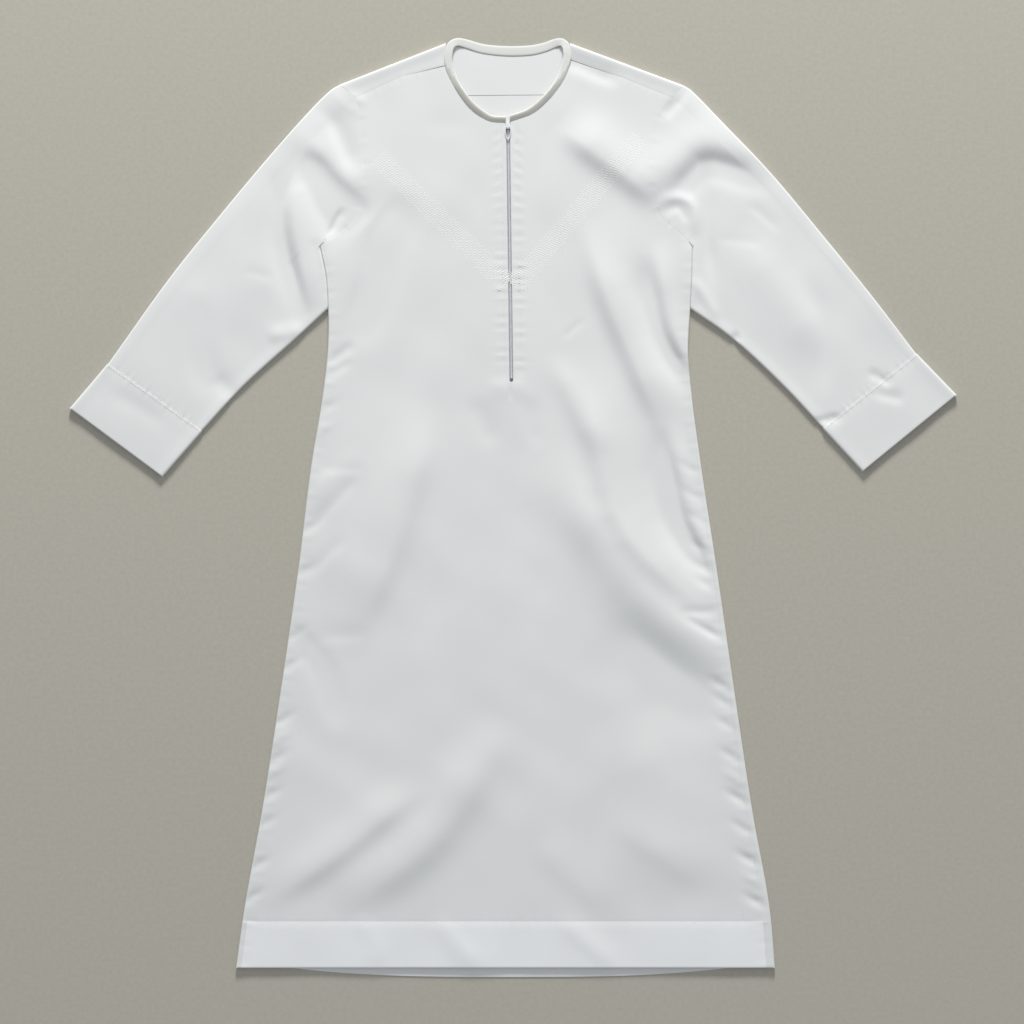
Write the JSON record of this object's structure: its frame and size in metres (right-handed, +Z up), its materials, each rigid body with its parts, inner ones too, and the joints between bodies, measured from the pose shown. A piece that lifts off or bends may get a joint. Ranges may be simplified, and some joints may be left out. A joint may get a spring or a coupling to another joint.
{
  "type": "long white robe (thobe) laid flat",
  "caption": "Collarless long-sleeved white robe laid flat on its back, with a zipped neck slit, deep cuffs and hem, and a swinging zip pull",
  "frame": {"origin": "on the surface the robe lies on, under the middle of its outline", "axes": "+Y runs from the hem to the neck, +X to the right of someone looking down at the robe's front, +Z up out of the surface"},
  "size_m": [1.329, 1.4078, 0.0144],
  "materials": {
    "white_cloth": "matte plain weave, faint sheen",
    "band_cloth": "matte plain weave, doubled",
    "zip_tape": "matte woven tape",
    "zip_metal": "satin nickel"
  },
  "bodies": {
    "garment": {"body_front": "white_cloth", "body_back": "white_cloth", "yoke": "white_cloth", "sleeve_left": "white_cloth", "sleeve_right": "white_cloth", "cuff_left": "band_cloth", "cuff_right": "band_cloth", "neck_binding": "band_cloth", "zip_tape_left": "zip_tape", "zip_tape_right": "zip_tape", "zip_chain": "zip_metal", "zip_slider": "zip_metal"},
    "pull": {"zip_pull": "zip_metal"}
  },
  "joints": [
    {"name": "pull_swing", "type": "hinge", "parent": "garment", "child": "pull", "pos_m": [-0.0082, 0.571, 0.007], "axis": [-1, 0, 0], "range_deg": [0, 150]}
  ]
}
